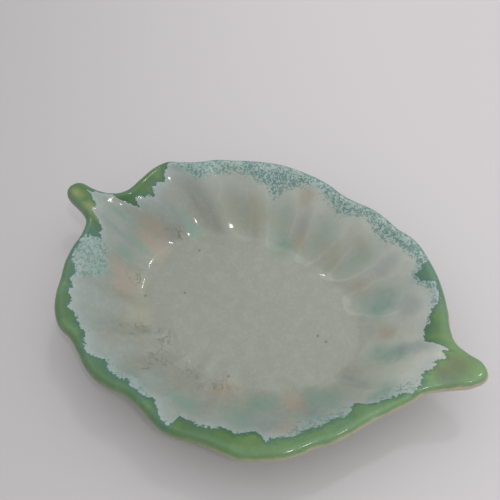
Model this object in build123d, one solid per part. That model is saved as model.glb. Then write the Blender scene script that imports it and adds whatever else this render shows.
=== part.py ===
from build123d import *
import math
import os

# A leaf-shaped ring dish in glazed earthenware, in millimetres.
# The origin is under the middle of the dish, on the surface that it stands on.
# +X points from the stalk to the leaf's tip, +Z points up.

# Overall size over the glaze, and the depth from the rim to the floor
length = 140.0
width = 92.0
inner_depth = 15.1

# Clay shell
glaze = 0.45
lip_radius = 1.75
base_thickness = 4.05
wall_swell = 0.9
wall_run = 23.0
floor_length = 70.0
floor_width = 47.0
floor_shift_x = -1.0
floor_shift_y = 1.7

# Flutes pressed into the wall
flute_depth = 2.3
flute_toe = 3.0
rim_wave = 0.45
outer_flute_share = 0.4
tip_rise_share = 0.12

# Stalk: the rolled end of the leaf, thicker than the lip from here out
stalk_start_x = -50.0
stalk_blend = 9.0
stalk_crown = 0.7
stalk_belly = 1.6

# Foot ring
foot_height = 2.0
foot_width = 4.5
foot_inset = 3.0
foot_round = 0.7

# The rim seen from above, from the leaf's tip round by the far side,
# as shares of the length and of the width from the middle of the dish
outline_shares = [
    (0.500, 0.070), (0.484, 0.108), (0.456, 0.119), (0.426, 0.136),
    (0.401, 0.172), (0.382, 0.220), (0.339, 0.312), (0.285, 0.390),
    (0.253, 0.418), (0.217, 0.430), (0.182, 0.450), (0.146, 0.463),
    (0.109, 0.466), (0.071, 0.474), (0.032, 0.490), (-0.027, 0.500),
    (-0.086, 0.497), (-0.142, 0.472), (-0.197, 0.439), (-0.234, 0.416),
    (-0.265, 0.380), (-0.301, 0.353), (-0.337, 0.329), (-0.356, 0.282),
    (-0.364, 0.220), (-0.373, 0.160), (-0.398, 0.124), (-0.436, 0.104),
    (-0.480, 0.108), (-0.500, 0.067), (-0.488, 0.036), (-0.461, 0.022),
    (-0.416, 0.000), (-0.396, -0.060), (-0.390, -0.125), (-0.380, -0.183),
    (-0.362, -0.238), (-0.346, -0.293), (-0.324, -0.341), (-0.293, -0.378),
    (-0.254, -0.395), (-0.218, -0.423), (-0.186, -0.451), (-0.153, -0.467),
    (-0.117, -0.470), (-0.082, -0.464), (-0.047, -0.472), (-0.014, -0.487),
    (0.019, -0.500), (0.051, -0.497), (0.113, -0.477), (0.175, -0.465),
    (0.203, -0.447), (0.229, -0.424), (0.254, -0.398), (0.292, -0.328),
    (0.314, -0.296), (0.331, -0.258), (0.363, -0.176), (0.398, -0.099),
    (0.414, -0.058), (0.436, -0.026), (0.461, -0.001), (0.487, 0.028),
]

# Where the ridges between the flutes stand, as shares of a turn about the floor's middle
ridge_shares = [
    0.058, 0.128, 0.238, 0.328, 0.388, 0.428, 0.468, 0.525,
    0.578, 0.628, 0.700, 0.752, 0.806, 0.866, 0.928, 0.989,
]

# Where the pale glaze ends: shares of a turn, and shares of the inset from the rim
border_inset = 9.0
border_shares = [
    (0.010, 1.20), (0.100, 0.50), (0.250, 0.40), (0.400, 0.50),
    (0.480, 0.90), (0.560, 0.70), (0.750, 0.70), (0.900, 0.85),
]

# Stations evenly round the rim, how far their lines aim at the floor's middle,
# and the levels of the sections, as shares of the way in from the lip to the floor's edge
station_count = 96
radial_share = 0.65
bare_share = 1.0
outer_shares = (0.9, 0.65, 0.4, 0.18)
lip_angles = (-90, -45, 0, 45, 90)
lower_shares = (0, 0.25, 0.5, 0.75, 1.0)

# Heights worked out from the sizes above
clay_floor_z = foot_height + base_thickness
floor_centre = Vector(floor_shift_x, floor_shift_y, 0)


def smooth_step(x):
    """0 below 0, 1 above 1, and a smooth S between."""
    x = min(max(x, 0), 1)
    return 3 * x**2 - 2 * x**3


def across_flute(turn):
    """Depth of the flutes at a share of a turn: 0 on a ridge, 1 along a flute's middle."""
    place = turn if turn >= ridge_shares[0] else turn + 1
    for start, stop in zip(ridge_shares, ridge_shares[1:] + [ridge_shares[0] + 1]):
        if start <= place < stop:
            return math.sin(math.pi * (place - start) / (stop - start)) ** 2
    return 0


def border_share(turn):
    """The pale glaze's inset from the rim at a share of a turn, as a share of border_inset."""
    place = turn if turn >= border_shares[0][0] else turn + 1
    ends = border_shares[1:] + [(border_shares[0][0] + 1, border_shares[0][1])]
    for (start, here), (stop, there) in zip(border_shares, ends):
        if start <= place < stop:
            return here + (there - here) * smooth_step((place - start) / (stop - start))
    return 1


def wall_height(x):
    """Height of the plain wall above the floor: x is 0 at the floor's edge and 1 at the rim."""
    if x > 1:
        return inner_depth * (1 + tip_rise_share * (x - 1))
    return inner_depth * (x + smooth_step(x)) / 2


class Station:
    """One of the places round the rim, with the line that runs from it in to the floor."""

    def __init__(self, rim_edge, share):
        tangent = rim_edge.tangent_at(share)
        self.outward = Vector(tangent.Y, -tangent.X, 0)
        self.lip = rim_edge.position_at(share) - self.outward * (lip_radius + glaze)
        ray = self.lip - floor_centre
        self.turn = math.atan2(ray.Y, ray.X) / math.tau % 1
        spread = (share - self.turn + 0.5) % 1 - 0.5
        bearing = math.tau * (self.turn + (1 - radial_share) * spread)
        aim = Vector(math.cos(bearing), math.sin(bearing), 0)
        stretch = math.hypot(aim.X / (floor_length / 2), aim.Y / (floor_width / 2))
        self.edge = floor_centre + aim / stretch
        self.inward = (self.edge - self.lip).normalized()
        self.run = (self.edge - self.lip).length
        self.reach = min(self.run, wall_run)
        self.across = across_flute(self.turn)
        self.border = border_inset * border_share(self.turn) / self.run
        self.lip_z = clay_floor_z + wall_height(self.run / self.reach) - lip_radius
        self.lip_z -= rim_wave * self.across

    def at(self, level, height):
        """The point at a level of the line, raised to a height over the clay's floor."""
        return self.lip + self.inward * (self.run * level) + Vector(0, 0, clay_floor_z + height)

    def stalk(self, level):
        """How much of the stalk's own thickness a point has: 0 in the dish, 1 on the stalk."""
        x = self.at(level, 0).X
        return smooth_step((stalk_start_x - x) / stalk_blend)

    def flute_drop(self, level):
        """How far the flute dips under the plain wall."""
        run = self.run * (1 - level)
        share = (run + flute_toe) / (self.reach + flute_toe)
        if share >= 1:
            return rim_wave * self.across
        return self.across * (flute_depth * math.sin(math.pi * share) + rim_wave * share)

    def outer(self, level, skin):
        """A point of the outer wall."""
        plain = wall_height(self.run * (1 - level) / self.reach)
        swell = math.sin(math.pi * level)
        drop = base_thickness * level + 2 * lip_radius * (1 - level) + wall_swell * swell
        drop += outer_flute_share * flute_depth * self.across * swell
        drop += rim_wave * self.across * (1 - level) + stalk_belly * self.stalk(level)
        return self.at(level, plain - drop - skin)

    def over_lip(self, degrees, skin):
        """A point of the round lip: 0 degrees is its outermost line, 90 its top."""
        rise = math.sin(math.radians(degrees))
        radius = lip_radius + skin
        height = self.lip_z + radius * rise
        height += (stalk_crown if rise > 0 else stalk_belly) * rise * self.stalk(0)
        out = self.outward * (radius * math.cos(math.radians(degrees)))
        return self.lip + out + Vector(0, 0, height)

    def inner(self, level, skin):
        """A point of the fluted inner wall."""
        plain = wall_height(self.run * (1 - level) / self.reach)
        return self.at(level, plain - self.flute_drop(level) + stalk_crown * self.stalk(level) + skin)

    def toe(self, skin):
        """A point of the flat floor's edge, where the flutes have run out."""
        return self.at(1 + flute_toe / self.run, skin)


def rim_stations():
    """The stations, evenly spaced along a smooth curve through the outline's points."""
    points = [Vector(x * length, y * width, 0) for x, y in outline_shares]
    rim_edge = Edge.make_spline(points, periodic=True)
    return [Station(rim_edge, i / station_count) for i in range(station_count)]


class Surface:
    """The dish's surface, part by part: skin is 0 on the clay and the glaze's thickness over it."""

    def __init__(self, places, skin):
        ring = Wire.make_polygon
        bottom = ring([s.outer(bare_share, skin) for s in places])
        outer = [ring([s.outer(level, skin) for s in places]) for level in outer_shares]
        lip = [ring([s.over_lip(angle, skin) for s in places]) for angle in lip_angles]
        lower = [
            ring([s.inner(s.border + (1 - s.border) * share, skin) for s in places])
            for share in lower_shares
        ]
        lower.append(ring([s.toe(skin) for s in places]))
        self.glaze_line = outer[0]
        self.border = lower[0]
        self.bare = [Face(bottom), *bands([bottom, outer[0]])]
        self.green = bands([*outer, *lip, lower[0]])
        self.pale = [*bands(lower), Face(lower[-1])]


def bands(rings):
    """The straight bands between each ring and the next."""
    return Shell.make_loft(rings, True).faces()


def sewn(faces):
    """A solid inside faces that meet edge to edge."""
    return Solid(Shell(faces))


def foot_ring():
    """The coil that the dish stands on: an oval ring with bevelled bottom edges."""
    outer_x = floor_length / 2 - foot_inset
    outer_y = floor_width / 2 - foot_inset

    def oval(inset, height):
        edge = Edge.make_ellipse(outer_x - inset, outer_y - inset)
        return Pos(floor_shift_x, floor_shift_y, height) * Wire([edge])

    outside = [oval(foot_round, 0), oval(0, foot_round), oval(0, foot_height)]
    inside = [
        oval(foot_width - foot_round, 0), oval(foot_width, foot_round), oval(foot_width, foot_height)
    ]
    sole = Face(outside[0], [inside[0]])
    top = Face(outside[-1], [inside[-1]])
    return sewn([sole, top, *bands(outside), *bands(inside)])


def main():
    os.makedirs("parts", exist_ok=True)
    places = rim_stations()
    clay = Surface(places, 0)
    coat = Surface(places, glaze)
    border_edge = bands([clay.border, coat.border])
    glaze_edge = bands([clay.glaze_line, coat.glaze_line])
    pieces = {
        "leaf_body": sewn(clay.bare + clay.green + clay.pale),
        "foot_ring": foot_ring(),
        "green_glaze": sewn(clay.green + coat.green + glaze_edge + border_edge),
        "pale_glaze": sewn(clay.pale + coat.pale + border_edge),
    }
    for name, piece in pieces.items():
        export_step(piece, f"parts/{name}.step")


main()
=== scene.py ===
import math

import bmesh
import bpy
import numpy as np
from bpy.props import FloatProperty, FloatVectorProperty, PointerProperty
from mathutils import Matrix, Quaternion, Vector, noise
from mathutils.geometry import interpolate_bezier


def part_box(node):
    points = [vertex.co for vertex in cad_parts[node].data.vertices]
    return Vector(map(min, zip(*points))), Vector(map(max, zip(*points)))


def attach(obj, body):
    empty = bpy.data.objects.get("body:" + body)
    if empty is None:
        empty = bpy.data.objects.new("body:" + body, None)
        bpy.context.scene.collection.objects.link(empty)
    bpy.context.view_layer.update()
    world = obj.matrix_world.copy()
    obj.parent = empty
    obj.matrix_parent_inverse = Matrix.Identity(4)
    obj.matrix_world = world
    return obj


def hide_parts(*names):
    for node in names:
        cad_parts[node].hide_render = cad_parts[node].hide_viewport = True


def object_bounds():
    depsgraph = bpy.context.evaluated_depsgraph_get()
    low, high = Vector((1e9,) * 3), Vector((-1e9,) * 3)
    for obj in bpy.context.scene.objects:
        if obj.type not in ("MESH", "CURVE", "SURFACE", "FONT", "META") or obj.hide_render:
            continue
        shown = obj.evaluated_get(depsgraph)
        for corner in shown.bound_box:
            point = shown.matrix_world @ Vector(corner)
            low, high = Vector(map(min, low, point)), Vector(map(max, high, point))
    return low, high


bl_info = {
    "name": "Leaf ring dish",
    "version": (1, 0, 0),
    "blender": (4, 5, 0),
    "location": "3D View > Sidebar > Ring dish",
    "description": "Models, glazes and lights a leaf-shaped earthenware ring dish",
    "category": "Object",
}

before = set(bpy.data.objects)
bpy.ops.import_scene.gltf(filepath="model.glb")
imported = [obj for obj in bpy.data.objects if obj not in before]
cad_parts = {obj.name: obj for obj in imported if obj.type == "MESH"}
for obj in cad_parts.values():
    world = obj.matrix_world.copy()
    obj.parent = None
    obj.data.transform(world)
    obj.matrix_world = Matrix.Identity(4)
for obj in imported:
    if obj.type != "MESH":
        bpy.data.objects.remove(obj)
cad_low, cad_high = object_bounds()

# Sizes in metres. The dish's length and width and the foot's height come from the frame.
mm = 0.001
length = cad_high.x - cad_low.x
width = cad_high.y - cad_low.y
foot_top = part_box("foot_ring")[1].z

# The flat oval floor
floor_length = 70 * mm
floor_width = 47 * mm
floor_centre = np.array([-1 * mm, 1.7 * mm])
floor_thickness = 4.05 * mm
clay_floor_z = foot_top + floor_thickness

# The wall that rises from the floor, its flutes and its round lip. The stations' lines aim
# at the floor's middle by radial_share, and otherwise lie evenly round the floor's edge.
inner_depth = 15.1 * mm
wall_run = 23 * mm
wall_swell = 0.9 * mm
tip_rise_share = 0.12
radial_share = 0.65
lip_radius = 1.75 * mm
rim_wave = 0.45 * mm
flute_toe = 3 * mm
flute_roundness = 1.5
outer_flute_share = 0.4

# The stalk: the rolled end of the leaf, thicker than the lip from stalk_start_x outwards
stalk_start_x = -50 * mm
stalk_blend = 9 * mm
stalk_crown = 0.7 * mm
stalk_belly = 1.6 * mm
stalk_crest = 0.05 * mm
crest_blend = 2.6 * mm
stalk_passes = 30

# The stalk's root: the line that the stations bend towards, and the hollow that is eased
root_x = -55 * mm
root_blend = 4 * mm
root_far = (-53 * mm, 9.0 * mm)
root_near = (-53 * mm, 1.5 * mm)
root_fade = 0.12
root_reach = 20.5 * mm
root_reach_x = -51 * mm
root_reach_blend = 5 * mm
root_ease = 1.6 * mm
root_ease_x = -34 * mm
root_ease_blend = 6 * mm
root_lip_blend = 2.5 * mm

# The foot ring, and the degrees between the steps round its bottom corners
foot_width = 4.5 * mm
foot_inset = 3 * mm
foot_round = 0.7 * mm
foot_stations = 192
foot_step = 15

# The hand-pressed unevenness: dents to a metre, and the finer dents among them
dents_per_metre = 60
finer_pace = 2.7
finer_share = 0.5

# The rim seen from above, from the leaf's tip round by the far side,
# as shares of the length and of the width from the middle of the dish
outline_shares = [
    (0.505, 0.071), (0.487, 0.108), (0.456, 0.119), (0.426, 0.136),
    (0.405, 0.173), (0.387, 0.223), (0.342, 0.315), (0.285, 0.390),
    (0.253, 0.418), (0.217, 0.430), (0.182, 0.450), (0.146, 0.463),
    (0.109, 0.466), (0.071, 0.474), (0.032, 0.490), (-0.027, 0.500),
    (-0.086, 0.497), (-0.142, 0.472), (-0.197, 0.439), (-0.234, 0.416),
    (-0.265, 0.380), (-0.301, 0.353), (-0.337, 0.329), (-0.356, 0.282),
    (-0.364, 0.220), (-0.373, 0.160), (-0.398, 0.124), (-0.436, 0.104),
    (-0.478, 0.108), (-0.496, 0.067), (-0.486, 0.036), (-0.461, 0.022),
    (-0.416, 0.000), (-0.396, -0.060), (-0.390, -0.125), (-0.380, -0.183),
    (-0.362, -0.238), (-0.346, -0.293), (-0.324, -0.341), (-0.293, -0.378),
    (-0.254, -0.395), (-0.218, -0.423), (-0.186, -0.451), (-0.153, -0.467),
    (-0.117, -0.470), (-0.082, -0.464), (-0.047, -0.472), (-0.014, -0.487),
    (0.019, -0.500), (0.051, -0.497), (0.113, -0.477), (0.175, -0.465),
    (0.203, -0.447), (0.229, -0.424), (0.254, -0.398), (0.292, -0.328),
    (0.314, -0.296), (0.331, -0.258), (0.363, -0.176), (0.398, -0.099),
    (0.414, -0.058), (0.436, -0.026), (0.461, -0.001), (0.488, 0.028),
]

# Where the ridges between the flutes stand, as shares of a turn about the floor's middle,
# and how deep the flute after each ridge is, as a share of the full depth
ridge_shares = [
    (0.046, 0.90), (0.108, 0.80), (0.162, 0.75), (0.240, 0.80), (0.318, 0.65), (0.388, 0.60),
    (0.444, 0.25), (0.525, 0.45), (0.578, 0.50), (0.628, 0.45), (0.700, 0.55), (0.752, 0.60),
    (0.806, 0.80), (0.866, 0.75), (0.928, 0.70), (0.989, 0.45),
]

# How thick the lip is: shares of a turn, and shares of its full thickness
lip_shares = [
    (0.000, 0.85), (0.040, 0.80), (0.120, 0.80), (0.250, 0.85), (0.420, 0.95), (0.480, 1.00),
    (0.560, 0.95), (0.700, 1.00), (0.850, 0.95), (0.940, 0.80), (0.980, 0.80),
]

# Where one coat's mesh meets the other's: shares of a turn, and shares of the inset from the lip
border_inset = 9 * mm
border_shares = [
    (0.010, 1.20), (0.100, 0.50), (0.250, 0.40), (0.400, 0.50),
    (0.480, 0.90), (0.560, 0.70), (0.750, 0.70), (0.900, 0.85),
]

# Where the green gives way to the pale glaze: shares of a turn,
# and millimetres in from the lip's top
fringe_places = [
    (0.000, 8.2), (0.010, 11.2), (0.016, 8.5), (0.020, 3.0), (0.023, 6.8), (0.031, 5.5),
    (0.041, 4.3), (0.050, 3.1), (0.056, 1.0), (0.064, -0.3), (0.076, -0.3), (0.080, 3.2),
    (0.087, 3.8), (0.094, 0.5), (0.102, -4.0), (0.400, -4.0), (0.411, -1.0), (0.418, 1.4),
    (0.427, 4.4), (0.432, 3.0), (0.441, 3.4), (0.446, 5.2), (0.451, 3.4), (0.462, 2.0),
    (0.468, 4.6), (0.473, 2.6), (0.476, -1.0), (0.483, -0.6), (0.487, 8.0), (0.492, 10.3),
    (0.497, 4.0), (0.506, 3.5), (0.516, 3.6), (0.520, 1.4), (0.527, -0.6), (0.542, -0.2),
    (0.552, 0.9), (0.562, 2.4), (0.572, 1.4), (0.578, 2.6), (0.584, 1.6), (0.591, 3.5),
    (0.600, 2.7), (0.608, 3.8), (0.626, 3.0), (0.642, 1.4), (0.652, 0.5), (0.660, 1.0),
    (0.664, 3.4), (0.670, 4.0), (0.681, 2.4), (0.694, 2.2), (0.706, 1.7), (0.719, 0.9),
    (0.732, 1.0), (0.738, 2.1), (0.748, 1.9), (0.756, 0.6), (0.767, 0.0), (0.771, 0.4),
    (0.773, 4.1), (0.781, 3.3), (0.797, 3.0), (0.812, 3.1), (0.816, 5.2), (0.828, 4.9),
    (0.836, 5.6), (0.847, 6.6), (0.853, 5.6), (0.858, 3.0), (0.869, 3.6), (0.884, 3.0),
    (0.894, 3.8), (0.906, 4.3), (0.919, 4.1), (0.931, 2.7), (0.936, 2.8), (0.940, 5.0),
    (0.948, 6.0), (0.952, 2.6), (0.963, 2.3), (0.972, 1.4), (0.981, -0.3), (0.986, 0.3),
    (0.992, 3.0), (0.996, 5.8),
]

# How far the crawled teal veins reach in from the lip's top, in millimetres
vein_places = [
    (0.012, 0.0), (0.044, 0.0), (0.054, 3.0), (0.066, 2.0), (0.084, 5.0), (0.100, 2.0),
    (0.118, 3.0), (0.142, 3.6), (0.160, 2.6), (0.174, 2.4), (0.196, 3.6), (0.212, 2.6),
    (0.240, 2.2), (0.262, 3.0), (0.276, 4.4), (0.296, 7.5), (0.312, 5.0), (0.330, 3.2),
    (0.352, 2.6), (0.374, 2.8), (0.392, 4.2), (0.404, 1.5), (0.414, 0.0), (0.504, 0.0),
    (0.526, 7.0), (0.540, 9.0), (0.552, 8.5), (0.574, 2.0), (0.586, 0.8), (0.605, 0.8),
    (0.640, 0.8), (0.672, 5.0), (0.700, 4.6), (0.722, 3.0), (0.745, 1.0), (0.850, 1.0),
    (0.862, 4.0), (0.900, 8.0), (0.916, 8.5), (0.934, 6.0), (0.955, 4.5), (0.975, 5.0),
    (0.990, 5.5),
]

# How dense the veins are: shares of a turn, and 1 for the densest
vein_strengths = [
    (0.050, 0.6), (0.085, 1.0), (0.250, 1.0), (0.400, 1.0), (0.415, 0.3), (0.520, 0.65),
    (0.560, 0.55), (0.580, 0.30), (0.680, 0.4), (0.730, 0.35), (0.860, 0.3), (0.905, 0.5),
    (0.990, 0.4),
]
vein_fade = 3.5 * mm

# The coats: how far down the outer wall the green runs, as a share of the way in,
# and how thick the meshes are, as a share of the glaze, so that they keep clear of the clay
green_stop = 0.9
coat_share = 0.8

# How far the glaze's own coordinates lie apart round the rim, and how slowly they go down it
flow_radius = 45 * mm
flow_share = 0.3

# How high up the wall a point can count, and how much further in the floor's middle counts
highest_wall = 1.4
floor_inset = 20 * mm

# How finely the surfaces are divided, and how often their creases are eased.
# The clay's mesh takes every other station.
around_per_span = 10
outer_rows = 22
lip_rows = 22
upper_rows = 20
lower_rows = 48
floor_rows = 12
crease_passes = 3
ridge_passes = 6
tuck_rows = 5
tuck_depth = 0.25 * mm
under_shares = (0, 0.25, 0.5, 0.75, 0.95, 1)
clay_stride = 2
ease_block = 500
least_area = 1e-12
weld_distance = 0.0001 * mm

# The room's light: where it mostly comes from, how narrowly, and how strong it is
# there and all round
light_side = Vector((0.17, 0.27, 0.95))
light_focus = 3
light_glow = 0.93
light_even = 0.56

# The lamps that the glaze mirrors: name, place and two sizes in metres, and power in watts
lamp_target = Vector((0, 0, 10 * mm))
lamps = [
    ("window", (0.42, -0.175, 0.88), 0.03, 0.09, 0.9),
    ("far_window", (0.12, 0.38, 0.9), 0.03, 0.12, 0.7),
]

# The paper: half its size in metres, the share of its colour that its painted shade keeps on the
# side away from the light, and the direction and span over which the painted shade gives way to
# its full colour
paper_reach = 3
paper_shade_share = 0.71
paper_side = (0.8, 0.6, 0)
paper_span = (-170 * mm, 90 * mm)

# The camera at the photograph's angle, its roll in degrees
lens_mm = 54
camera_place = Vector((75.0, -82.8, 205.0)) * mm
camera_target = Vector((-10.85, 20.0, 6.5)) * mm
camera_roll = 10.7


class DishSizes(bpy.types.PropertyGroup):
    """Sizes that a user would change."""

    glaze: FloatProperty(
        name="Glaze thickness", description="How thick both coats of glaze are",
        default=0.45 * mm, min=0.1 * mm, max=1 * mm, unit="LENGTH",
    )
    flute_depth: FloatProperty(
        name="Flute depth", description="How far the flutes are pressed into the wall",
        default=2.3 * mm, min=0, max=3 * mm, unit="LENGTH",
    )
    unevenness: FloatProperty(
        name="Unevenness",
        description="How far the hand-pressed surface strays from the plain form",
        default=0.16 * mm, min=0, max=0.5 * mm, unit="LENGTH",
    )


def colour(name, description, default):
    """A colour property for the panel."""
    return FloatVectorProperty(
        name=name, description=description, default=default,
        size=3, min=0, max=1, subtype="COLOR",
    )


class DishColours(bpy.types.PropertyGroup):
    """Colours that a user would change."""

    sage: colour("Sage", "The pale glaze over the floor", (0.248, 0.259, 0.218))
    mist: colour("Mist", "The cooler pale glaze up the wall", (0.250, 0.295, 0.270))
    frost: colour("Frost", "The pale glaze's whiter fringe", (0.315, 0.374, 0.380))
    # Cream is the pale glaze's own lighter speckle, and also paints light on the far side and the
    # flutes' rims
    cream_and_painted_light: colour(
        "Cream", "The pale glaze where it is thickest, on the far side", (0.450, 0.472, 0.420)
    )
    mint: colour("Mint", "Green tint where the pale glaze lies deep", (0.172, 0.285, 0.232))
    slate: colour("Slate", "Blue-grey tint in the hollows", (0.170, 0.230, 0.225))
    peach: colour("Peach", "Warm tint where the pale glaze is thin", (0.345, 0.280, 0.215))
    ochre: colour("Ochre", "Yellow-brown tint low on the wall", (0.300, 0.300, 0.215))
    teal: colour("Teal", "The dark veins of the crawled glaze", (0.110, 0.225, 0.205))
    foam: colour("Foam", "The light cells of the crawled glaze", (0.288, 0.398, 0.372))
    green: colour("Green", "The green glaze", (0.062, 0.138, 0.036))
    leaf: colour("Leaf green", "The lighter green towards the tip", (0.180, 0.312, 0.108))
    # Pooled green also paints the shade on the far lip's outer edge
    pooled_and_shade: colour("Pooled green", "The green glaze where it lies deep", (0.038, 0.120, 0.085))
    olive: colour("Olive", "The green glaze where it is thin", (0.215, 0.260, 0.085))
    tan: colour("Tan", "Clay that shows through at the thinnest edges", (0.550, 0.470, 0.320))
    umber: colour("Umber", "Brown stains under the glaze", (0.120, 0.130, 0.085))
    clay: colour("Clay", "The bare fired clay", (0.500, 0.380, 0.260))
    floor: colour("Floor", "The paper that the dish stands on", (0.598, 0.575, 0.588))


def smooth_step(x):
    """0 below 0, 1 above 1, and a smooth S between."""
    x = np.clip(x, 0, 1)
    return 3 * x**2 - 2 * x**3


def spans(starts, turn):
    """The span between starts that each turn lies in, and how far along it the turn is."""
    ends = np.append(starts, starts[0] + 1)
    place = np.where(turn >= starts[0], turn, turn + 1)
    index = np.clip(np.searchsorted(ends, place, side="right") - 1, 0, len(starts) - 1)
    return index, (place - ends[index]) / (ends[index + 1] - ends[index])


def between(places, turn):
    """A value eased between listed ones, each given at a share of a turn."""
    starts, values = np.array(places).T
    index, share = spans(starts, turn)
    return values[index] + (np.roll(values, -1)[index] - values[index]) * smooth_step(share)


def turn_of(points):
    """The share of a turn about the floor's middle at which each point lies."""
    ray = points - floor_centre
    return np.arctan2(ray[:, 1], ray[:, 0]) / math.tau % 1


def share_round(points):
    """How far round a closed line each of its points is, as a share of its length."""
    steps = np.linalg.norm(points - np.roll(points, 1, 0), axis=1)
    whole = steps.sum()
    steps[0] = 0
    return np.cumsum(steps) / whole


def rim_points():
    """Evenly divided points of a smooth closed curve through the outline's points."""
    corners = [Vector((x * length, y * width, 0)) for x, y in outline_shares]
    count = len(corners)
    points = []
    for i, start in enumerate(corners):
        before, stop, after = corners[i - 1], corners[(i + 1) % count], corners[(i + 2) % count]
        chord = (stop - start).length / 3
        leave = start + (stop - before).normalized() * chord
        arrive = stop - (after - start).normalized() * chord
        span = interpolate_bezier(start, leave, arrive, stop, around_per_span + 1)
        points.extend(point[:2] for point in span[:-1])
    return np.array(points)


class LeafForm:
    """The dish's form at stations round the rim. Each array has one row to a station."""

    def __init__(self, sizes):
        self.sizes = sizes
        rim = rim_points()
        self.place_lip(rim)
        self.turn = turn_of(self.lip)
        self.place_lines(share_round(rim))
        self.across = self.across_flute()
        wall = self.wall_height(self.run / self.reach)
        self.lip_z = clay_floor_z + wall - self.lip_radius - rim_wave * self.across
        self.border = border_inset * between(border_shares, self.turn) / self.run
        self.fringe = mm * between(fringe_places, self.turn)
        self.vein_reach = mm * between(vein_places, self.turn)
        self.vein_strength = between(vein_strengths, self.turn)

    def place_lip(self, rim):
        """The middle line of the round lip, evened out along the stalk."""
        tangent = np.roll(rim, -1, 0) - np.roll(rim, 1, 0)
        tangent /= np.linalg.norm(tangent, axis=1)[:, None]
        self.outward = np.stack([tangent[:, 1], -tangent[:, 0]], 1)
        self.lip_radius = lip_radius * between(lip_shares, turn_of(rim))
        self.lip = rim - self.outward * (self.lip_radius + self.sizes.glaze)[:, None]
        on_stalk = smooth_step((root_x - self.lip[:, 0]) / root_blend)
        for _ in range(stalk_passes):
            middle = (np.roll(self.lip, 1, 0) + np.roll(self.lip, -1, 0)) / 2
            self.lip += (middle - self.lip) * 0.5 * on_stalk[:, None]

    def place_lines(self, around):
        """The line that runs from each station in to the floor's edge."""
        spread = (around - self.turn + 0.5) % 1 - 0.5
        bearing = math.tau * (self.turn + (1 - radial_share) * spread)
        aim = np.stack([np.cos(bearing), np.sin(bearing)], 1)
        stretch = np.hypot(aim[:, 0] / (floor_length / 2), aim[:, 1] / (floor_width / 2))
        self.edge = floor_centre + aim / stretch[:, None]
        self.run = np.linalg.norm(self.edge - self.lip, axis=1)
        self.inward = (self.edge - self.lip) / self.run[:, None]
        self.bend = self.root_bends(around)
        root = smooth_step((root_reach_x - self.lip[:, 0]) / root_reach_blend)
        reach = np.minimum(self.run, wall_run)
        self.reach = reach + (root_reach - reach) * root

    def root_bends(self, around):
        """What each line bends towards: evenly across the stalk's root, or its own middle."""
        stalk = np.flatnonzero(self.lip[:, 0] < root_x)
        first, last = around[stalk[0]], around[stalk[-1]]
        share = np.clip((around - first) / (last - first), 0, 1)
        across_root = np.array(root_near) - np.array(root_far)
        target = np.array(root_far) + across_root * share[:, None]
        pull = smooth_step(share / root_fade) * smooth_step((1 - share) / root_fade)
        middle = (self.lip + self.edge) / 2
        return middle + (target - middle) * pull[:, None]

    def across_flute(self):
        """Depth of the flutes: 0 on a ridge and up to 1 along a flute's middle."""
        ridges, depths = np.array(ridge_shares).T
        index, share = spans(ridges, self.turn)
        across = depths[index] * np.sin(np.pi * share) ** flute_roundness
        for _ in range(ridge_passes):
            across = (2 * across + np.roll(across, 1) + np.roll(across, -1)) / 4
        return across

    def plan(self, level):
        """Where each line is at a level, seen from above: 0 at the lip, 1 at the floor's edge."""
        level = np.broadcast_to(level, self.run.shape)[:, None]
        bent = self.bend * 2 * level * (1 - level)
        return self.lip * (1 - level) ** 2 + bent + self.edge * level**2

    def left(self, level):
        """How far each line still has to go to the floor's edge."""
        ahead = np.linalg.norm(self.plan(level) - self.edge, axis=1)
        return np.where(np.broadcast_to(level, ahead.shape) > 1, -ahead, ahead)

    def wall_height(self, x):
        """Height of the plain wall over the floor: x is 0 at the floor's edge, 1 at the rim."""
        rise = inner_depth * (x + smooth_step(x)) / 2
        return np.where(x > 1, inner_depth * (1 + tip_rise_share * (x - 1)), rise)

    def at(self, level, height):
        """Points at a level of each station's line, raised over the clay's floor."""
        return np.column_stack([self.plan(level), clay_floor_z + height])

    def stalk(self, level):
        """How much of the stalk's own thickness each point has."""
        return smooth_step((stalk_start_x - self.plan(level)[:, 0]) / stalk_blend)

    def flute_share(self, level):
        """Where a level lies along the flute: 0 at its toe and 1 at the rim."""
        return (self.left(level) + flute_toe) / (self.reach + flute_toe)

    def flute_drop(self, level):
        """How far the flutes dip under the plain wall."""
        share = np.minimum(self.flute_share(level), 1)
        dip = self.sizes.flute_depth * np.sin(np.pi * share)
        return self.across * (dip + rim_wave * share)

    def outer(self, level, skin):
        """A ring of the outer wall."""
        level = level * np.ones_like(self.run)
        plain = self.wall_height(self.left(level) / self.reach)
        swell = np.sin(np.pi * level)
        drop = floor_thickness * level + 2 * self.lip_radius * (1 - level) + wall_swell * swell
        drop += outer_flute_share * self.sizes.flute_depth * self.across * swell
        drop += rim_wave * self.across * (1 - level) + stalk_belly * self.stalk(level)
        return self.at(level, plain - drop - skin)

    def over_lip(self, degrees, skin):
        """A ring over the round lip: 0 degrees is its outermost line, 90 its top."""
        rise = math.sin(math.radians(degrees))
        out = math.cos(math.radians(degrees))
        radius = self.lip_radius + skin
        thicker = (stalk_crown if rise > 0 else stalk_belly) * self.stalk(0)
        plan = self.lip + self.outward * (radius * out)[:, None]
        return np.column_stack([plan, self.lip_z + (radius + thicker) * rise])

    def inner(self, level, skin):
        """A ring of the fluted inner wall."""
        level = level * np.ones_like(self.run)
        plain = self.wall_height(self.left(level) / self.reach)
        crown = stalk_crown * self.stalk(level)
        return self.at(level, plain - self.flute_drop(level) + crown + skin)

    def floor(self, share, skin):
        """A ring of the flat floor: share is 1 at the toes of the flutes and 0 in the middle."""
        plan = self.edge + self.inward * flute_toe
        toe = np.column_stack([plan, (clay_floor_z + skin) * np.ones_like(self.run)])
        middle = np.array([*floor_centre, clay_floor_z + skin])
        return middle + (toe - middle) * share


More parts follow.
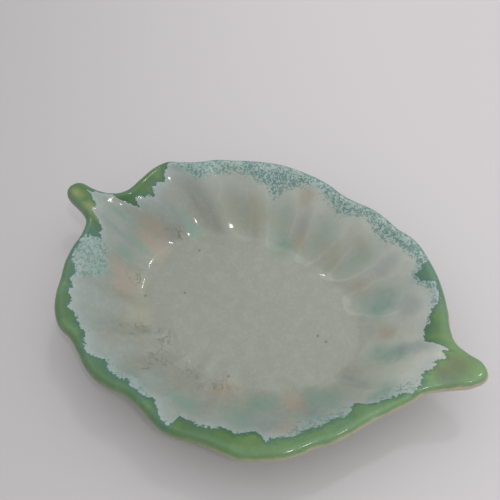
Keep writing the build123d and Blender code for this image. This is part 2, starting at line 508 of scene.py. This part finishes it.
# What the mesh tells its material at each point: the distance in from the lip's top and from
# the fringe, the height up the wall, the depth of the flute and the strength of the veins
fact_names = ("inset", "fringe", "wall", "pocket", "veins")


class DishSurface:
    """A stack of rings that makes one surface, with what its glaze needs to know."""

    def __init__(self, form, skin):
        self.form = form
        self.rings = []
        self.facts = []
        self.lay_outside(skin)
        self.lay_inside(skin)
        self.points = np.array(self.rings)
        self.soften()
        self.shape_root()
        self.roughen()

    def lay_outside(self, skin):
        """The rings up the outer wall and over the lip."""
        form = self.form
        lip_length = math.pi * (lip_radius + skin)
        for i in range(outer_rows):
            level = green_stop * (1 - i / outer_rows)
            self.add(form.outer(level, skin), -lip_length - level * form.run, 1 - level, 0)
        for i in range(lip_rows):
            degrees = -90 + 180 * i / lip_rows
            self.add(form.over_lip(degrees, skin), -lip_length * (90 - degrees) / 180, 1, 0)

    def lay_inside(self, skin):
        """The rings down the inner wall to the border, on to the floor's edge, and inwards."""
        form = self.form
        self.border_row = len(self.rings) + upper_rows
        levels = [form.border * i / upper_rows for i in range(upper_rows)]
        for i in range(lower_rows + 1):
            levels.append(form.border + (1 - form.border) * i / lower_rows)
        for level in levels:
            share = np.clip(form.flute_share(level), 0, 1)
            wall = np.clip(form.left(level) / form.reach, 0, highest_wall)
            pocket = form.across * np.sin(np.pi * share)
            self.add(form.inner(level, skin), level * form.run, wall, pocket)
        for i in range(floor_rows + 1):
            inset = form.run + flute_toe + floor_inset * i / floor_rows
            self.add(form.floor(1 - i / floor_rows, skin), inset, 0, 0)

    def add(self, ring, inset, wall, pocket):
        """One more ring, with its distance in from the lip's top, its height and its flute."""
        form = self.form
        inset = inset * np.ones_like(form.run)
        veins = form.vein_strength * smooth_step((form.vein_reach - inset) / vein_fade + 0.5)
        turns = math.tau * form.turn
        flow = (flow_radius * np.cos(turns), flow_radius * np.sin(turns), flow_share * inset)
        facts = np.broadcast_arrays(inset, inset - form.fringe, wall, pocket, veins, *flow)
        self.rings.append(ring)
        self.facts.append(np.stack(facts, 1))

    def soften(self):
        """Ease the creases between one part of the profile and the next."""
        for _ in range(crease_passes):
            middle = self.points[1:-1] * 2 + self.points[:-2] + self.points[2:]
            self.points[1:-1] = middle / 4

    def plan_areas(self):
        """How much of the plan each point stands for."""
        across = np.roll(self.points, -1, 1) - np.roll(self.points, 1, 1)
        down = np.gradient(self.points, axis=0)
        return np.abs(across[..., 0] * down[..., 1] - across[..., 1] * down[..., 0])

    def shape_root(self):
        """Even out the hollow at the stalk's root, and round the stalk's crest."""
        top = outer_rows + lip_rows
        lip = self.points[top, :, :2]
        rows, stations = np.nonzero(self.points[top:, :, 0] < root_ease_x)
        rows += top
        plan = self.points[rows, stations, :2]
        heights = self.points[rows, stations, 2].copy()
        weights = self.plan_areas()[rows, stations] + least_area
        for start in range(0, len(plan), ease_block):
            part = slice(start, start + ease_block)
            x = plan[part, 0]
            gaps = ((plan[part, None] - plan[None]) ** 2).sum(2)
            pull = np.exp(-gaps / (2 * root_ease**2)) * weights
            eased = (pull * heights).sum(1) / pull.sum(1)
            to_lip = np.sqrt(((plan[part, None] - lip[None]) ** 2).sum(2).min(1))
            share = smooth_step(to_lip / root_lip_blend)
            share *= smooth_step((root_ease_x - x) / root_ease_blend)
            crest = stalk_crest * smooth_step(to_lip / crest_blend)
            crest *= smooth_step((stalk_start_x - x) / stalk_blend)
            lifted = heights[part] + (eased - heights[part]) * share + crest
            self.points[rows[part], stations[part], 2] = lifted

    def roughen(self):
        """The slight unevenness of a surface that was pressed and wiped by hand."""
        amount = self.form.sizes.unevenness
        for ring in self.points:
            for point in ring:
                place = Vector(point) * dents_per_metre
                finer = finer_share * noise.noise(place * finer_pace)
                point[2] += amount * (noise.noise(place) + finer)

    def coat(self, start, stop):
        """Rings and facts from row to row, run on and tucked under the coat that they meet."""
        first = max(start - tuck_rows, 0)
        last = min(stop + tuck_rows, len(self.points) - 1)
        rows = np.arange(first, last + 1)
        hidden = np.maximum(np.maximum(start - rows, rows - stop), 0)
        rings = self.points[rows].copy()
        rings[:, :, 2] -= tuck_depth * (hidden[:, None] / tuck_rows) ** 2
        return rings, np.array(self.facts)[rows]


def ring_mesh(name, rings, facts=None):
    """A tube of quads through the rings, closed round the rim and at a ring with no width."""
    rows, around = rings.shape[:2]
    bm = bmesh.new()
    bmesh.ops.create_grid(bm, x_segments=around, y_segments=rows - 1, size=0.5)
    layers = []
    if facts is not None:
        layers = [bm.verts.layers.float.new(fact) for fact in fact_names]
        flow = bm.verts.layers.float_vector.new("flow")
    for vert in bm.verts:
        i = round((vert.co.x + 0.5) * around) % around
        j = round((vert.co.y + 0.5) * (rows - 1))
        vert.co = rings[j, i]
        for k, layer in enumerate(layers):
            vert[layer] = facts[j, i, k]
        if facts is not None:
            vert[flow] = facts[j, i, len(layers):]
    bmesh.ops.remove_doubles(bm, verts=bm.verts, dist=weld_distance)
    for face in bm.faces:
        face.smooth = True
    return mesh_object(name, bm)


def mesh_object(name, bm):
    """A new object in the scene with a bmesh as its mesh."""
    mesh = bpy.data.meshes.new(name)
    bm.to_mesh(mesh)
    bm.free()
    piece = bpy.data.objects.new(name, mesh)
    bpy.context.scene.collection.objects.link(piece)
    return piece


def place_piece(piece, node, material):
    """Give a finished piece its material and its body, and hide the node that it stands for."""
    piece.data.materials.append(material)
    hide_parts(node)
    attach(piece, "root")


def thicken(piece, thickness):
    """Give a coat of glaze its thickness, inwards from its surface."""
    solidify = piece.modifiers.new("Thickness", "SOLIDIFY")
    solidify.thickness = thickness
    solidify.offset = -1


class Value:
    """A number on its way through a material: sums and products of values add Math nodes."""

    def __init__(self, finish, socket):
        self.finish = finish
        self.socket = socket

    def math(self, operation, *terms):
        """The Math node of an operation on one or two numbers."""
        settings = {"operation": operation}
        return self.finish.value("ShaderNodeMath", settings, dict(enumerate(terms)))

    def __add__(self, other):
        return self.math("ADD", self, other)

    def __sub__(self, other):
        return self.math("SUBTRACT", self, other)

    def __rsub__(self, other):
        return self.math("SUBTRACT", other, self)

    def __mul__(self, other):
        return self.math("MULTIPLY", self, other)

    def __pow__(self, other):
        return self.math("POWER", self, other)

    def __rpow__(self, other):
        return self.math("POWER", other, self)

    def __abs__(self):
        return self.math("ABSOLUTE", self)

    __radd__ = __add__
    __rmul__ = __mul__

    def most(self, other):
        """The greater of two numbers."""
        return self.math("MAXIMUM", self, other)

    def least(self, other):
        """The lesser of two numbers."""
        return self.math("MINIMUM", self, other)

    def step(self, low, high):
        """0 at low and 1 at high, with a smooth S between; low may be above high."""
        settings = {"interpolation_type": "SMOOTHSTEP"}
        return self.finish.value("ShaderNodeMapRange", settings, {0: self, 1: low, 2: high})

    def swing(self, amount):
        """Noise that goes from 0 to 1, made to swing by an amount about 0."""
        return (self - 0.5) * amount


class Finish:
    """The nodes of a material or of the world, and the moves that build them."""

    def __init__(self, holder, coordinate="Object"):
        self.holder = holder
        self.holder.use_nodes = True
        self.tree = self.holder.node_tree
        self.tree.nodes.clear()
        self.place = self.node("ShaderNodeTexCoord").outputs[coordinate]

    def node(self, kind, settings=None, sockets=None):
        """A node with its settings, then the values or links of its sockets."""
        node = self.tree.nodes.new(kind)
        for name, setting in (settings or {}).items():
            setattr(node, name, setting)
        for name, item in (sockets or {}).items():
            socket = node.inputs[name]
            if isinstance(item, Value):
                item = item.socket
            if isinstance(item, bpy.types.NodeSocket):
                self.tree.links.new(item, socket)
            elif socket.type == "RGBA":
                socket.default_value = (*item, 1)
            else:
                socket.default_value = item
        return node

    def value(self, kind, settings=None, sockets=None, output=0):
        """A node's output as a number."""
        return Value(self, self.node(kind, settings, sockets).outputs[output])

    def vector_math(self, operation, *terms):
        """The Vector Math node of an operation."""
        settings = {"operation": operation}
        return self.node("ShaderNodeVectorMath", settings, dict(enumerate(terms)))

    def along(self, direction):
        """How far a point lies in a direction."""
        return Value(self, self.vector_math("DOT_PRODUCT", self.place, direction).outputs["Value"])

    def reach(self, vector):
        """How long a vector is."""
        return Value(self, self.vector_math("LENGTH", vector).outputs["Value"])

    def clouds(self, size, detail=2, distortion=0, shift=0, place=None):
        """Soft noise from 0 to 1 whose lumps are about a given size."""
        sockets = {"Vector": place or self.place, "Location": (shift, shift, 0)}
        moved = self.node("ShaderNodeMapping", None, sockets).outputs[0]
        sockets = {
            "Vector": moved, "Scale": 0.6 / size, "Detail": detail, "Distortion": distortion,
        }
        return self.value("ShaderNodeTexNoise", None, sockets)

    def mix(self, first, second, factor):
        """A colour between two colours."""
        sockets = {0: factor, 6: first, 7: second}
        return self.node("ShaderNodeMix", {"data_type": "RGBA"}, sockets).outputs[2]

    def tinted(self, colour, *tints):
        """A colour under several tints, each laid on by its own amount."""
        for tint, amount in tints:
            colour = self.mix(colour, tint, amount)
        return colour

    def shade(self, base, roughness, height=None, depth=0):
        """Finish the material with one glossy or matte surface."""
        sockets = {"Base Color": base, "Roughness": roughness, "IOR": 1.5}
        if height is not None:
            bump = {"Strength": 1.0, "Distance": depth, "Height": height}
            sockets["Normal"] = self.node("ShaderNodeBump", None, bump).outputs[0]
        surface = self.node("ShaderNodeBsdfPrincipled", None, sockets)
        self.node("ShaderNodeOutputMaterial", None, {"Surface": surface.outputs[0]})
        return self.holder


# Patches of tint: the share of a turn, millimetres in from the lip's top, and half sizes
# across and along the flutes. The last three lists are for the green glaze.
mint_patches = [
    (0.261, 18.5, 5, 3.5), (0.065, 16, 4, 5), (0.013, 24, 3.5, 6), (0.968, 5, 5, 2.5),
    (0.767, 8.5, 5, 3), (0.837, 11.5, 4, 5), (0.493, 23, 1.5, 5), (0.865, 18, 5, 4),
    (0.545, 7.5, 3, 3.5), (0.485, 14, 1.2, 6), (0.430, 17, 2.5, 5), (0.935, 14, 5, 6),
    (0.510, 12, 2, 4),
]
slate_patches = [
    (0.237, 11.3, 2, 5), (0.112, 8.5, 3, 5), (0.056, 8.5, 3.5, 4), (0.018, 14, 2, 6),
    (0.870, 8, 3.5, 4), (0.910, 9, 2, 4), (0.975, 14, 1.5, 7), (0.700, 4.5, 6, 2),
    (0.440, 12, 1.5, 4), (0.496, 12, 1.2, 6),
]
peach_patches = [
    (0.103, 17.6, 2, 3), (0.032, 15.4, 2.5, 3), (0.485, 26, 3, 5), (0.537, 12, 2.5, 4),
    (0.548, 14.5, 3, 4), (0.477, 1, 2, 2), (0.247, 4, 3, 3), (0.231, 14.5, 2, 3),
    (0.470, 11, 2, 6), (0.880, 5.5, 5, 3), (0.905, 17, 3, 4), (0.800, 18, 4, 4),
]
ochre_patches = [
    (0.170, 15, 6, 3.5), (0.365, 13.7, 4, 5), (0.320, 12, 5, 4), (0.491, 31, 4, 3),
    (0.528, 17, 3, 4), (0.590, 20, 8, 4), (0.150, 8, 5, 3),
]
umber_patches = [(0.987, 20, 2, 3), (0.460, 14, 2, 3), (0.620, 19, 2, 3)]
crack_patches = [
    (0.613, 18, 4, 4), (0.674, 18.5, 5, 3.5), (0.692, 11.5, 3, 3), (0.726, 17, 6, 3),
    (0.786, 19, 5, 3), (0.526, 16, 3, 3), (0.460, 15.5, 3, 4), (0.640, 22, 4, 3),
]
tip_patches = [(0.010, 5.5, 3.5, 4.5), (0.002, 3.5, 3, 4)]
# The stalk's crest: thin glaze, and a painted highlight along it
thin_crest_sheen_patches = [(0.4975, 4.5, 1.8, 5), (0.492, 1.5, 2, 3)]
pool_patches = [(0.037, 3.0, 3.5, 4), (0.022, 5, 2, 3), (0.514, 2, 3, 3)]

# Pinholes in the pale glaze, in millimetres over the plan
pinholes = [(-25.4, 12.4), (-20.8, -3.0), (22.6, 3.2), (6.0, -20.3), (25.6, 2.6), (-31.5, -9.5)]
pinhole_radius = 0.6 * mm

# Where the pale glaze turns lighter on the far side, partly painted light, and where the green
# lightens on the right: a direction, and how far along it each begins and is full
far_side = (0.5, 0.85, 0)
far_span = (-8 * mm, 38 * mm)
right_side = (0.9, -0.25, 0)
right_span = (14 * mm, 62 * mm)

# In from the fringe: the blur, the raised edge, the frost inside it and the pool outside it,
# each from where it begins to where it is full
fringe_blur = (-0.25 * mm, 0.25 * mm)
fringe_rise = (-0.4 * mm, 0.4 * mm)
frost_span = (3.2 * mm, 0.2 * mm)
pool_span = (-2.4 * mm, -0.1 * mm)

# In from the lip's top, so outwards where below 0: the painted shade on the far lip's outer edge,
# the crest that turns olive, and the thin edge where clay shows through, down to where it ends
far_lip_shade_span = (-0.4 * mm, -1.8 * mm)
crest_span = (-1.0 * mm, -3.2 * mm)
thin_span = (-1.5 * mm, -2.9 * mm)
thin_end = (-8 * mm, -5 * mm)

# How deep the glaze's dimples are, and the clay's grain
glaze_dimples = 0.2 * mm
clay_grain = 0.08 * mm


class GlazeFinish(Finish):
    """A finish that knows the leaf: distances over it, noises, crawled veins and patches."""

    def __init__(self, holder, form):
        super().__init__(holder)
        self.form = form
        self.inset, self.fringe, self.wall, self.pocket, dense = map(self.fact, fact_names)
        self.torn = self.clouds(4 * mm, 5)
        self.broad = self.clouds(16 * mm, 2, shift=3)
        self.medium = self.clouds(6 * mm, 3, shift=7)
        self.fine = self.clouds(1.6 * mm, 3, shift=1)
        self.grain = self.clouds(0.5 * mm, 2, shift=5)
        flow = self.node("ShaderNodeAttribute", {"attribute_name": "flow"}).outputs["Vector"]
        self.runs = self.clouds(2.4 * mm, 3, shift=2, place=flow)
        self.licks = self.clouds(0.9 * mm, 2, shift=4, place=flow)
        ragged = (
            self.licks.swing(1.6 * mm) + self.fine.swing(2.8 * mm) + self.grain.swing(2.6 * mm)
        )
        self.edge = self.fringe + self.runs.swing(1 * mm) + ragged
        clumps = self.clouds(2.6 * mm, 2, shift=6)
        crawl = self.clouds(0.54 * mm, 1, distortion=1.2, shift=9) + clumps.swing(0.4)
        self.veins = (dense * (0.4 + clumps * 1.2)).least(1)
        self.holes = (crawl - self.veins * 0.14).step(0.39, 0.32) * self.veins.step(0.02, 0.3)

    def fact(self, name):
        """A number that the mesh carries at each point."""
        return self.value("ShaderNodeAttribute", {"attribute_name": name}, output="Fac")

    def cells(self, size):
        """Distance to the nearest of scattered points, in shares of their spacing."""
        sockets = {"Vector": self.place, "Scale": 1 / size}
        return self.value("ShaderNodeTexVoronoi", None, sockets, "Distance")

    def patch(self, turn, inset, across, along):
        """1 inside a soft, torn ellipse on the leaf and 0 outside it."""
        form = self.form
        index = int(np.argmin(np.abs((form.turn - turn + 0.5) % 1 - 0.5)))
        inward = form.inward[index]
        sockets = {
            "Vector": self.place,
            "Location": (*(form.lip[index] + inward * inset * mm), 0),
            "Rotation": (0, 0, math.atan2(inward[1], inward[0])),
            "Scale": (along * mm, across * mm, 1),
        }
        moved = self.node("ShaderNodeMapping", {"vector_type": "TEXTURE"}, sockets).outputs[0]
        flat = self.vector_math("MULTIPLY", moved, (1, 1, 0)).outputs[0]
        return (self.reach(flat) + self.torn.swing(2)).step(1.5, 0.1)

    def patches(self, places):
        """The strongest of several patches."""
        total = self.patch(*places[0])
        for place in places[1:]:
            total = total.most(self.patch(*place))
        return total

    def dots(self, places, radius):
        """1 inside small round dots at places over the plan."""
        gaps = []
        for x, y in places:
            centre = (-x * mm, -y * mm, 0)
            moved = self.vector_math("MULTIPLY_ADD", self.place, (1, 1, 0), centre)
            gaps.append(self.reach(moved.outputs[0]))
        nearest = gaps[0]
        for gap in gaps[1:]:
            nearest = nearest.least(gap)
        return nearest.step(radius, 0.5 * radius)


def pale_colour(glaze, colours):
    """The pale glaze: sage on the floor and mist up the wall, with all that lies in it, painted
    light on the far side and the flutes' rims, and painted shade on the far lip.
    """
    climb = glaze.wall * 1.1 + glaze.medium.swing(1.2) + glaze.runs.swing(1)
    plain = glaze.mix(colours.sage, colours.mist, climb.step(0.1, 1.1))
    far = glaze.along(far_side).step(*far_span)
    pockets = glaze.pocket + glaze.medium.swing(0.5) + glaze.fine.swing(0.3)
    # Painted highlight: lighter lines along the flutes' rims, where their edges catch the light
    pocket_rim_highlights = abs(pockets - 0.3).step(0.12, 0.02)
    speckle = glaze.fine * 0.6 + glaze.grain * 0.4
    wander = abs(glaze.clouds(3.2 * mm, 4, distortion=1.5, shift=8) - 0.5)
    cracks = wander.step(0.06, 0) * speckle.step(0.4, 0.58)
    flecks = glaze.cells(1.7 * mm).step(0.17, 0.08) * glaze.broad.step(0.42, 0.6)
    frost = glaze.edge.step(*frost_span)
    # Painted shade: the far lip's outer edge, where it turns away from the light
    far_lip_shade = glaze.inset.step(*far_lip_shade_span)
    return glaze.tinted(
        plain,
        # Partly painted light: cream lightens the far side, most of all up the wall
        (colours.cream_and_painted_light, far * (0.5 + glaze.broad * 0.8) * (0.15 + glaze.wall * 1.2).least(1)),
        (colours.cream_and_painted_light, speckle.step(0.38, 0.66) * 0.14),
        (colours.mint, pockets.step(0.3, 0.9) * far * (0.1 + glaze.broad * 0.5)),
        # Painted highlight on the flutes' rims
        (colours.cream_and_painted_light, pocket_rim_highlights * far * 0.3),
        (colours.ochre, glaze.patches(ochre_patches) * 0.5),
        (colours.mint, glaze.patches(mint_patches) * (0.3 + glaze.fine * 0.7)),
        (colours.slate, glaze.patches(slate_patches) * (0.1 + glaze.runs * 0.6)),
        (colours.peach, glaze.patches(peach_patches) * (0.3 + glaze.fine * 0.6)),
        (colours.umber, glaze.patches(umber_patches) * (glaze.fine * 0.35)),
        (colours.umber, cracks * (glaze.patches(crack_patches) * 0.85 + 0.08)),
        (colours.frost, flecks * 0.55),
        (colours.frost, frost * (0.1 + glaze.licks * 0.65)),
        (colours.umber, glaze.dots(pinholes, pinhole_radius) * 0.7),
        (colours.foam, glaze.veins.step(0, 0.9) * 0.6),
        (colours.teal, glaze.holes * (0.55 + glaze.veins * 0.38)),
        # Painted shade: pooled green darkens the far lip's outer edge
        (colours.pooled_and_shade, glaze.veins.step(0.3, 0.9) * far_lip_shade * 0.4),
    )


def green_colour(glaze, colours):
    """The green glaze: lighter to the right, deep by the fringe, thin on the lip's edge, and thin
    with a painted highlight along the stalk's crest.
    """
    right = glaze.along(right_side).step(*right_span)
    pool = glaze.edge.step(*pool_span) * (0.4 + glaze.medium * 0.9)
    crest = (glaze.inset + glaze.medium.swing(3 * mm)).step(*crest_span)
    thin = (glaze.inset + glaze.fine.swing(1.5 * mm)).step(*thin_span)
    thin *= glaze.inset.step(*thin_end)
    return glaze.tinted(
        colours.green,
        (colours.leaf, right * (0.5 + glaze.medium * 0.6)),
        (colours.leaf, glaze.medium.step(0.5, 0.7) * 0.35),
        (colours.pooled_and_shade, pool * (1 - right * 0.4)),
        (colours.olive, crest * (0.4 + right * 0.3)),
        # Thin glaze and a painted highlight along the stalk's crest
        (colours.olive, glaze.patches(thin_crest_sheen_patches) * 0.9),
        (colours.pooled_and_shade, glaze.patches(pool_patches) * 0.45),
        (colours.umber, glaze.patches(tip_patches) * (0.3 + glaze.medium * 0.8)),
        (colours.tan, thin * (0.15 + right * 0.85)),
        (colours.teal, glaze.veins * 0.5),
    )


def glaze_material(name, colours, form):
    """Both glazes in one: which of them shows depends on the distance from the fringe."""
    glaze = GlazeFinish(bpy.data.materials.new(name), form)
    pale = glaze.edge.step(*fringe_blur)
    base = glaze.mix(green_colour(glaze, colours), pale_colour(glaze, colours), pale)
    rise = glaze.edge.step(*fringe_rise)
    height = glaze.medium * 0.5 + glaze.fine * 0.2 + rise * 0.35 - glaze.holes * 0.2
    roughness = 0.07 + glaze.fine * 0.06 + glaze.veins * 0.12
    return glaze.shade(base, roughness, height, glaze_dimples)


def clay_material(name, colours):
    """Bare fired earthenware."""
    clay = Finish(bpy.data.materials.new(name))
    grain = clay.clouds(0.4 * mm, 3)
    tone = clay.clouds(9 * mm, 3)
    darker = tuple(0.82 * c for c in colours.clay)
    base = clay.mix(colours.clay, darker, (tone * 0.6 + grain * 0.4).step(0.35, 0.7))
    return clay.shade(base, 0.75 + grain * 0.1, grain, clay_grain)


def paper_material(colours):
    """Plain pale paper with painted shade: a little duller on the side that lies further from the
    light.
    """
    paper = Finish(bpy.data.materials.new("paper"))
    # Painted shade: the paper's colour darkened on the side away from the light
    painted_shade_colour = tuple(paper_shade_share * c for c in colours.floor)
    lit = paper.along(paper_side).step(*paper_span)
    return paper.shade(paper.mix(painted_shade_colour, colours.floor, lit), 0.9)


def studio_world(world):
    """An even white room that is brighter towards the side that the light comes from."""
    room = Finish(world, "Generated")
    strength = room.along(light_side).most(0) ** light_focus * light_glow + light_even
    sockets = {"Color": (1, 1, 1), "Strength": strength}
    background = room.node("ShaderNodeBackground", None, sockets)
    room.node("ShaderNodeOutputWorld", None, {"Surface": background.outputs[0]})


class DISH_OT_clay_body(bpy.types.Operator):
    """Model the leaf-shaped clay body"""

    bl_idname = "dish.clay_body"
    bl_label = "Clay body"

    def execute(self, context):
        form = LeafForm(context.scene.dish_sizes)
        clay = DishSurface(form, 0)
        sole = form.outer(1, 0)
        middle = sole.mean(0)
        under = [middle + (sole - middle) * share for share in under_shares]
        rings = np.concatenate([under, clay.points])
        piece = ring_mesh("clay_body", rings[:, ::clay_stride])
        material = clay_material("bare_clay", context.scene.dish_colours)
        place_piece(piece, "leaf_body", material)
        return {"FINISHED"}


class DISH_OT_foot_ring(bpy.types.Operator):
    """Model the foot ring"""

    bl_idname = "dish.foot_ring"
    bl_label = "Foot ring"

    def execute(self, context):
        profile = [(foot_width, foot_top), (0, foot_top)]
        for corner, start in ((foot_round, 180), (foot_width - foot_round, 270)):
            for degrees in range(start, start + 91, foot_step):
                angle = math.radians(degrees)
                inset = corner + foot_round * math.cos(angle)
                profile.append((inset, foot_round * (1 + math.sin(angle))))
        profile.append(profile[0])
        turns = np.linspace(0, math.tau, foot_stations, endpoint=False)
        half_length = floor_length / 2 - foot_inset
        half_width = floor_width / 2 - foot_inset
        rings = []
        for inset, height in reversed(profile):
            x = floor_centre[0] + (half_length - inset) * np.cos(turns)
            y = floor_centre[1] + (half_width - inset) * np.sin(turns)
            rings.append(np.column_stack([x, y, height * np.ones_like(x)]))
        piece = ring_mesh("foot", np.array(rings))
        material = clay_material("foot_clay", context.scene.dish_colours)
        place_piece(piece, "foot_ring", material)
        return {"FINISHED"}


class DISH_OT_glazes(bpy.types.Operator):
    """Model the green coat and the pale coat that meets it at the border"""

    bl_idname = "dish.glazes"
    bl_label = "Glazes"

    def execute(self, context):
        sizes = context.scene.dish_sizes
        form = LeafForm(sizes)
        surface = DishSurface(form, sizes.glaze)
        material = glaze_material("reactive_glaze", context.scene.dish_colours, form)
        border, last = surface.border_row, len(surface.points) - 1
        for name, start, stop in (("green_glaze", 0, border), ("pale_glaze", border, last)):
            piece = ring_mesh(name + "_coat", *surface.coat(start, stop))
            thicken(piece, sizes.glaze * coat_share)
            place_piece(piece, name, material)
        return {"FINISHED"}


def add_lamp(name, place, size, size_y, power):
    """A soft oblong lamp at a place, facing the dish."""
    light = bpy.data.lights.new(name, "AREA")
    light.shape = "RECTANGLE"
    light.size = size
    light.size_y = size_y
    light.energy = power
    lamp = bpy.data.objects.new(name, light)
    lamp.location = place
    lamp.rotation_euler = (lamp_target - Vector(place)).to_track_quat("-Z", "Y").to_euler()
    bpy.context.scene.collection.objects.link(lamp)


def add_camera(scene):
    """The camera at the photograph's angle."""
    camera_data = bpy.data.cameras.new("camera")
    camera_data.lens = lens_mm
    camera = bpy.data.objects.new("camera", camera_data)
    camera.location = camera_place
    aim = (camera_target - camera_place).to_track_quat("-Z", "Y")
    roll = Quaternion((0, 0, 1), math.radians(-camera_roll))
    camera.rotation_euler = (aim @ roll).to_euler()
    scene.collection.objects.link(camera)
    scene.camera = camera


class DISH_OT_stage(bpy.types.Operator):
    """Make the paper floor, the studio light and the camera"""

    bl_idname = "dish.stage"
    bl_label = "Stage"

    def execute(self, context):
        scene = context.scene
        bm = bmesh.new()
        bmesh.ops.create_grid(bm, x_segments=1, y_segments=1, size=paper_reach)
        paper = mesh_object("paper", bm)
        paper.data.materials.append(paper_material(scene.dish_colours))
        for lamp in lamps:
            add_lamp(*lamp)
        scene.world = bpy.data.worlds.new("studio")
        studio_world(scene.world)
        add_camera(scene)
        scene.view_settings.view_transform = "Standard"
        return {"FINISHED"}


class DISH_PT_panel(bpy.types.Panel):
    """Sizes, colours and steps of the ring dish"""

    bl_idname = "DISH_PT_panel"
    bl_label = "Ring dish"
    bl_space_type = "VIEW_3D"
    bl_region_type = "UI"
    bl_category = "Ring dish"

    def draw(self, context):
        for group in (context.scene.dish_sizes, context.scene.dish_colours):
            for name in group.__annotations__:
                self.layout.prop(group, name)
        for step in steps:
            self.layout.operator(step.bl_idname)


steps = (DISH_OT_clay_body, DISH_OT_foot_ring, DISH_OT_glazes, DISH_OT_stage)
classes = (DishSizes, DishColours, *steps, DISH_PT_panel)


def register():
    """Make the dish's groups, steps and panel known."""
    for cls in classes:
        bpy.utils.register_class(cls)
    bpy.types.Scene.dish_sizes = PointerProperty(type=DishSizes)
    bpy.types.Scene.dish_colours = PointerProperty(type=DishColours)


def unregister():
    """Take them out again."""
    del bpy.types.Scene.dish_colours
    del bpy.types.Scene.dish_sizes
    for cls in reversed(classes):
        bpy.utils.unregister_class(cls)


def main():
    """Build the dish and its stage."""
    register()
    bpy.ops.dish.clay_body()
    bpy.ops.dish.foot_ring()
    bpy.ops.dish.glazes()
    bpy.ops.dish.stage()


if __name__ == "__main__":
    main()
